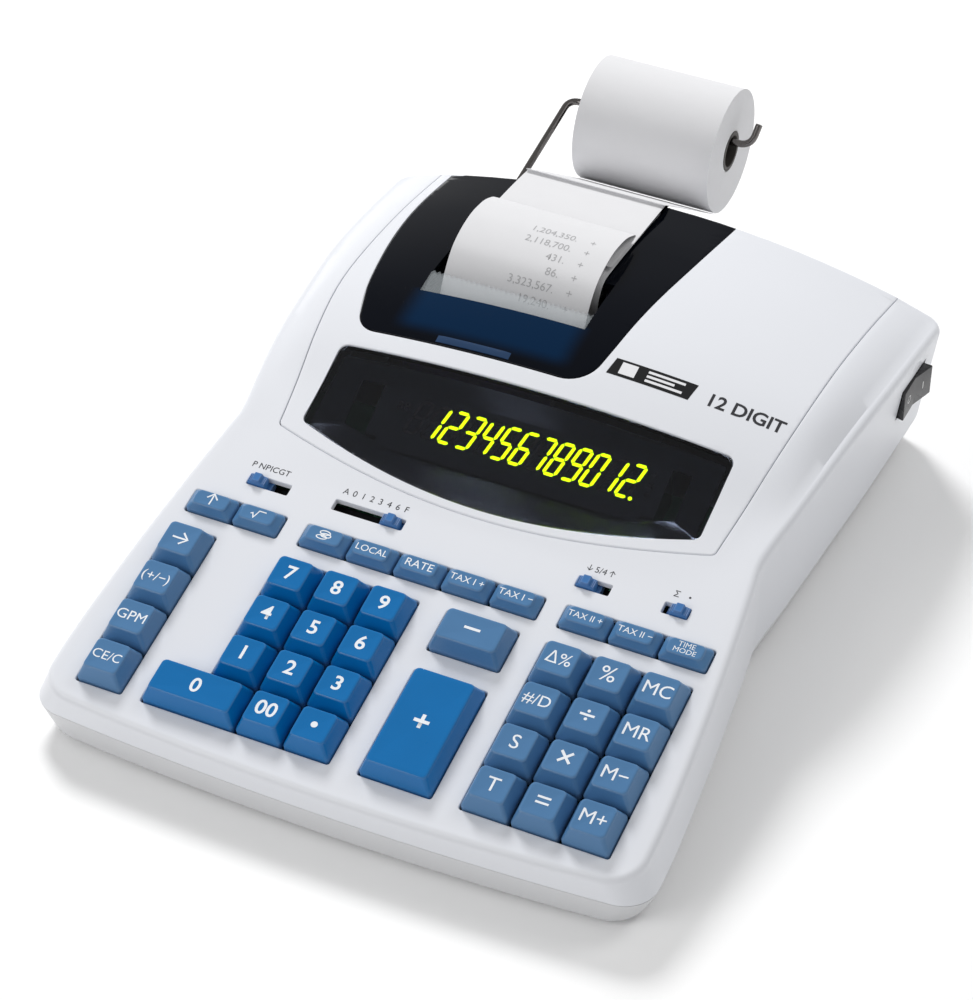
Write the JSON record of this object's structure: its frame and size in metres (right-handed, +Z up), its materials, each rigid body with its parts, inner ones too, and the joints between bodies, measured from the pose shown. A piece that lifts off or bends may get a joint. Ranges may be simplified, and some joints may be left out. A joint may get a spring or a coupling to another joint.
{
  "type": "desk printing calculator",
  "caption": "Sloping desk calculator with a keyed deck, slide switches, a window over a numeric display, and a paper printer fed from a roll on a wire behind.",
  "frame": {"origin": "middle of the whole object's footprint, on the table", "axes": "+Z up, +X to the user's right, +Y away from the user, from the keys towards the paper roll"},
  "size_m": [0.2276, 0.3766, 0.0871],
  "materials": {
    "key_bright_blue": "fine matt texture",
    "key_grey_blue": "fine matt texture",
    "knob_blue": "matt",
    "black_plastic": "satin",
    "shell_white": "very fine texture, satin",
    "panel_white": "very fine texture, satin",
    "lower_white": "very fine texture, satin",
    "window_smoke": "polished, smoked, clear enough to read the display",
    "cover_smoke": "polished, dark smoked blue",
    "clear_plastic": "polished clear",
    "paper_roll_white": "uncoated paper",
    "paper_white": "uncoated paper",
    "wire_steel": "black coated wire",
    "tube_glass": "dark glass",
    "board_green": "solder mask",
    "frame_steel": "plain sheet",
    "roller_rubber": "ground rubber",
    "ink_felt": "inked foam",
    "core_steel": "varnished laminations"
  },
  "bodies": {
    "case": {"lower_case": "lower_white", "upper_case": "shell_white", "top_panel": "panel_white", "display_window": "window_smoke", "printer_cover": "cover_smoke", "tear_bar": "clear_plastic", "roll_holder": "wire_steel", "paper_web": "paper_white", "display_tube": "tube_glass", "key_board": "board_green", "printer_frame": "frame_steel", "transformer": "core_steel"},
    "key_1": {"key_1": "key_bright_blue"},
    "key_2": {"key_2": "key_bright_blue"},
    "key_3": {"key_3": "key_bright_blue"},
    "key_4": {"key_4": "key_bright_blue"},
    "key_5": {"key_5": "key_bright_blue"},
    "key_6": {"key_6": "key_bright_blue"},
    "key_7": {"key_7": "key_bright_blue"},
    "key_8": {"key_8": "key_bright_blue"},
    "key_9": {"key_9": "key_bright_blue"},
    "key_0": {"key_0": "key_bright_blue"},
    "key_00": {"key_00": "key_bright_blue"},
    "key_decimal_point": {"key_decimal_point": "key_bright_blue"},
    "key_plus": {"key_plus": "key_bright_blue"},
    "key_clear": {"key_clear": "key_grey_blue"},
    "key_average": {"key_average": "key_grey_blue"},
    "key_sign_change": {"key_sign_change": "key_grey_blue"},
    "key_shift_right": {"key_shift_right": "key_grey_blue"},
    "key_minus": {"key_minus": "key_grey_blue"},
    "key_total": {"key_total": "key_grey_blue"},
    "key_equals": {"key_equals": "key_grey_blue"},
    "key_memory_plus": {"key_memory_plus": "key_grey_blue"},
    "key_subtotal": {"key_subtotal": "key_grey_blue"},
    "key_multiply": {"key_multiply": "key_grey_blue"},
    "key_memory_minus": {"key_memory_minus": "key_grey_blue"},
    "key_number_date": {"key_number_date": "key_grey_blue"},
    "key_divide": {"key_divide": "key_grey_blue"},
    "key_memory_recall": {"key_memory_recall": "key_grey_blue"},
    "key_delta_percent": {"key_delta_percent": "key_grey_blue"},
    "key_percent": {"key_percent": "key_grey_blue"},
    "key_memory_clear": {"key_memory_clear": "key_grey_blue"},
    "key_paper_feed": {"key_paper_feed": "key_grey_blue"},
    "key_square_root": {"key_square_root": "key_grey_blue"},
    "key_convert": {"key_convert": "key_grey_blue"},
    "key_local_currency": {"key_local_currency": "key_grey_blue"},
    "key_rate": {"key_rate": "key_grey_blue"},
    "key_tax_one_plus": {"key_tax_one_plus": "key_grey_blue"},
    "key_tax_one_minus": {"key_tax_one_minus": "key_grey_blue"},
    "key_tax_two_plus": {"key_tax_two_plus": "key_grey_blue"},
    "key_tax_two_minus": {"key_tax_two_minus": "key_grey_blue"},
    "key_time_mode": {"key_time_mode": "key_grey_blue"},
    "print_mode_slider": {"print_mode_slider": "knob_blue"},
    "decimal_slider": {"decimal_slider": "knob_blue"},
    "rounding_slider": {"rounding_slider": "knob_blue"},
    "total_slider": {"total_slider": "knob_blue"},
    "power_rocker": {"power_rocker": "black_plastic"},
    "paper_roll": {"paper_roll": "paper_roll_white"},
    "feed_roller": {"feed_roller": "roller_rubber"},
    "ink_roller": {"ink_roller": "ink_felt"}
  },
  "joints": [
    {"name": "key_1_press", "type": "slide", "parent": "case", "child": "key_1", "axis": [0, 0.225, -0.9744], "range_m": [0, 0.003], "stiffness_N_per_m": 120, "springref_m": -0.003},
    {"name": "key_2_press", "type": "slide", "parent": "case", "child": "key_2", "axis": [0, 0.225, -0.9744], "range_m": [0, 0.003], "stiffness_N_per_m": 120, "springref_m": -0.003},
    {"name": "key_3_press", "type": "slide", "parent": "case", "child": "key_3", "axis": [0, 0.225, -0.9744], "range_m": [0, 0.003], "stiffness_N_per_m": 120, "springref_m": -0.003},
    {"name": "key_4_press", "type": "slide", "parent": "case", "child": "key_4", "axis": [0, 0.225, -0.9744], "range_m": [0, 0.003], "stiffness_N_per_m": 120, "springref_m": -0.003},
    {"name": "key_5_press", "type": "slide", "parent": "case", "child": "key_5", "axis": [0, 0.225, -0.9744], "range_m": [0, 0.003], "stiffness_N_per_m": 120, "springref_m": -0.003},
    {"name": "key_6_press", "type": "slide", "parent": "case", "child": "key_6", "axis": [0, 0.225, -0.9744], "range_m": [0, 0.003], "stiffness_N_per_m": 120, "springref_m": -0.003},
    {"name": "key_7_press", "type": "slide", "parent": "case", "child": "key_7", "axis": [0, 0.225, -0.9744], "range_m": [0, 0.003], "stiffness_N_per_m": 120, "springref_m": -0.003},
    {"name": "key_8_press", "type": "slide", "parent": "case", "child": "key_8", "axis": [0, 0.225, -0.9744], "range_m": [0, 0.003], "stiffness_N_per_m": 120, "springref_m": -0.003},
    {"name": "key_9_press", "type": "slide", "parent": "case", "child": "key_9", "axis": [0, 0.225, -0.9744], "range_m": [0, 0.003], "stiffness_N_per_m": 120, "springref_m": -0.003},
    {"name": "key_0_press", "type": "slide", "parent": "case", "child": "key_0", "axis": [0, 0.225, -0.9744], "range_m": [0, 0.003], "stiffness_N_per_m": 120, "springref_m": -0.003},
    {"name": "key_00_press", "type": "slide", "parent": "case", "child": "key_00", "axis": [0, 0.225, -0.9744], "range_m": [0, 0.003], "stiffness_N_per_m": 120, "springref_m": -0.003},
    {"name": "key_decimal_point_press", "type": "slide", "parent": "case", "child": "key_decimal_point", "axis": [0, 0.225, -0.9744], "range_m": [0, 0.003], "stiffness_N_per_m": 120, "springref_m": -0.003},
    {"name": "key_plus_press", "type": "slide", "parent": "case", "child": "key_plus", "axis": [0, 0.225, -0.9744], "range_m": [0, 0.003], "stiffness_N_per_m": 120, "springref_m": -0.003},
    {"name": "key_clear_press", "type": "slide", "parent": "case", "child": "key_clear", "axis": [0, 0.225, -0.9744], "range_m": [0, 0.003], "stiffness_N_per_m": 120, "springref_m": -0.003},
    {"name": "key_average_press", "type": "slide", "parent": "case", "child": "key_average", "axis": [0, 0.225, -0.9744], "range_m": [0, 0.003], "stiffness_N_per_m": 120, "springref_m": -0.003},
    {"name": "key_sign_change_press", "type": "slide", "parent": "case", "child": "key_sign_change", "axis": [0, 0.225, -0.9744], "range_m": [0, 0.003], "stiffness_N_per_m": 120, "springref_m": -0.003},
    {"name": "key_shift_right_press", "type": "slide", "parent": "case", "child": "key_shift_right", "axis": [0, 0.225, -0.9744], "range_m": [0, 0.003], "stiffness_N_per_m": 120, "springref_m": -0.003},
    {"name": "key_minus_press", "type": "slide", "parent": "case", "child": "key_minus", "axis": [0, 0.225, -0.9744], "range_m": [0, 0.003], "stiffness_N_per_m": 120, "springref_m": -0.003},
    {"name": "key_total_press", "type": "slide", "parent": "case", "child": "key_total", "axis": [0, 0.225, -0.9744], "range_m": [0, 0.003], "stiffness_N_per_m": 120, "springref_m": -0.003},
    {"name": "key_equals_press", "type": "slide", "parent": "case", "child": "key_equals", "axis": [0, 0.225, -0.9744], "range_m": [0, 0.003], "stiffness_N_per_m": 120, "springref_m": -0.003},
    {"name": "key_memory_plus_press", "type": "slide", "parent": "case", "child": "key_memory_plus", "axis": [0, 0.225, -0.9744], "range_m": [0, 0.003], "stiffness_N_per_m": 120, "springref_m": -0.003},
    {"name": "key_subtotal_press", "type": "slide", "parent": "case", "child": "key_subtotal", "axis": [0, 0.225, -0.9744], "range_m": [0, 0.003], "stiffness_N_per_m": 120, "springref_m": -0.003},
    {"name": "key_multiply_press", "type": "slide", "parent": "case", "child": "key_multiply", "axis": [0, 0.225, -0.9744], "range_m": [0, 0.003], "stiffness_N_per_m": 120, "springref_m": -0.003},
    {"name": "key_memory_minus_press", "type": "slide", "parent": "case", "child": "key_memory_minus", "axis": [0, 0.225, -0.9744], "range_m": [0, 0.003], "stiffness_N_per_m": 120, "springref_m": -0.003},
    {"name": "key_number_date_press", "type": "slide", "parent": "case", "child": "key_number_date", "axis": [0, 0.225, -0.9744], "range_m": [0, 0.003], "stiffness_N_per_m": 120, "springref_m": -0.003},
    {"name": "key_divide_press", "type": "slide", "parent": "case", "child": "key_divide", "axis": [0, 0.225, -0.9744], "range_m": [0, 0.003], "stiffness_N_per_m": 120, "springref_m": -0.003},
    {"name": "key_memory_recall_press", "type": "slide", "parent": "case", "child": "key_memory_recall", "axis": [0, 0.225, -0.9744], "range_m": [0, 0.003], "stiffness_N_per_m": 120, "springref_m": -0.003},
    {"name": "key_delta_percent_press", "type": "slide", "parent": "case", "child": "key_delta_percent", "axis": [0, 0.225, -0.9744], "range_m": [0, 0.003], "stiffness_N_per_m": 120, "springref_m": -0.003},
    {"name": "key_percent_press", "type": "slide", "parent": "case", "child": "key_percent", "axis": [0, 0.225, -0.9744], "range_m": [0, 0.003], "stiffness_N_per_m": 120, "springref_m": -0.003},
    {"name": "key_memory_clear_press", "type": "slide", "parent": "case", "child": "key_memory_clear", "axis": [0, 0.225, -0.9744], "range_m": [0, 0.003], "stiffness_N_per_m": 120, "springref_m": -0.003},
    {"name": "key_paper_feed_press", "type": "slide", "parent": "case", "child": "key_paper_feed", "axis": [0, 0.225, -0.9744], "range_m": [0, 0.003], "stiffness_N_per_m": 120, "springref_m": -0.003},
    {"name": "key_square_root_press", "type": "slide", "parent": "case", "child": "key_square_root", "axis": [0, 0.225, -0.9744], "range_m": [0, 0.003], "stiffness_N_per_m": 120, "springref_m": -0.003},
    {"name": "key_convert_press", "type": "slide", "parent": "case", "child": "key_convert", "axis": [0, 0.225, -0.9744], "range_m": [0, 0.003], "stiffness_N_per_m": 120, "springref_m": -0.003},
    {"name": "key_local_currency_press", "type": "slide", "parent": "case", "child": "key_local_currency", "axis": [0, 0.225, -0.9744], "range_m": [0, 0.003], "stiffness_N_per_m": 120, "springref_m": -0.003},
    {"name": "key_rate_press", "type": "slide", "parent": "case", "child": "key_rate", "axis": [0, 0.225, -0.9744], "range_m": [0, 0.003], "stiffness_N_per_m": 120, "springref_m": -0.003},
    {"name": "key_tax_one_plus_press", "type": "slide", "parent": "case", "child": "key_tax_one_plus", "axis": [0, 0.225, -0.9744], "range_m": [0, 0.003], "stiffness_N_per_m": 120, "springref_m": -0.003},
    {"name": "key_tax_one_minus_press", "type": "slide", "parent": "case", "child": "key_tax_one_minus", "axis": [0, 0.225, -0.9744], "range_m": [0, 0.003], "stiffness_N_per_m": 120, "springref_m": -0.003},
    {"name": "key_tax_two_plus_press", "type": "slide", "parent": "case", "child": "key_tax_two_plus", "axis": [0, 0.225, -0.9744], "range_m": [0, 0.003], "stiffness_N_per_m": 120, "springref_m": -0.003},
    {"name": "key_tax_two_minus_press", "type": "slide", "parent": "case", "child": "key_tax_two_minus", "axis": [0, 0.225, -0.9744], "range_m": [0, 0.003], "stiffness_N_per_m": 120, "springref_m": -0.003},
    {"name": "key_time_mode_press", "type": "slide", "parent": "case", "child": "key_time_mode", "axis": [0, 0.225, -0.9744], "range_m": [0, 0.003], "stiffness_N_per_m": 120, "springref_m": -0.003},
    {"name": "print_mode_slider_slide", "type": "slide", "parent": "case", "child": "print_mode_slider", "axis": [1, 0, 0], "range_m": [0, 0.0088]},
    {"name": "decimal_slider_slide", "type": "slide", "parent": "case", "child": "decimal_slider", "axis": [1, 0, 0], "range_m": [-0.01851, 0.00139]},
    {"name": "rounding_slider_slide", "type": "slide", "parent": "case", "child": "rounding_slider", "axis": [1, 0, 0], "range_m": [0, 0.0052]},
    {"name": "total_slider_slide", "type": "slide", "parent": "case", "child": "total_slider", "axis": [1, 0, 0], "range_m": [-0.0024, 0]},
    {"name": "power_rocker_tilt", "type": "hinge", "parent": "case", "child": "power_rocker", "pos_m": [0.10598, 0.07175, 0.0425], "axis": [0, 0, 1], "range_deg": [0, 18]},
    {"name": "paper_roll_turn", "type": "hinge", "parent": "case", "child": "paper_roll", "pos_m": [-0.0272, 0.16325, 0.0597], "axis": [1, 0, 0], "continuous": true},
    {"name": "feed_roller_turn", "type": "hinge", "parent": "case", "child": "feed_roller", "pos_m": [-0.0272, 0.02475, 0.061], "axis": [1, 0, 0], "continuous": true},
    {"name": "ink_roller_turn", "type": "hinge", "parent": "case", "child": "ink_roller", "pos_m": [-0.0272, -0.00375, 0.056], "axis": [1, 0, 0], "continuous": true}
  ],
  "couplings": [
    {"joint": "feed_roller_turn", "follows": "paper_roll_turn", "ratio": 3.3333}
  ]
}
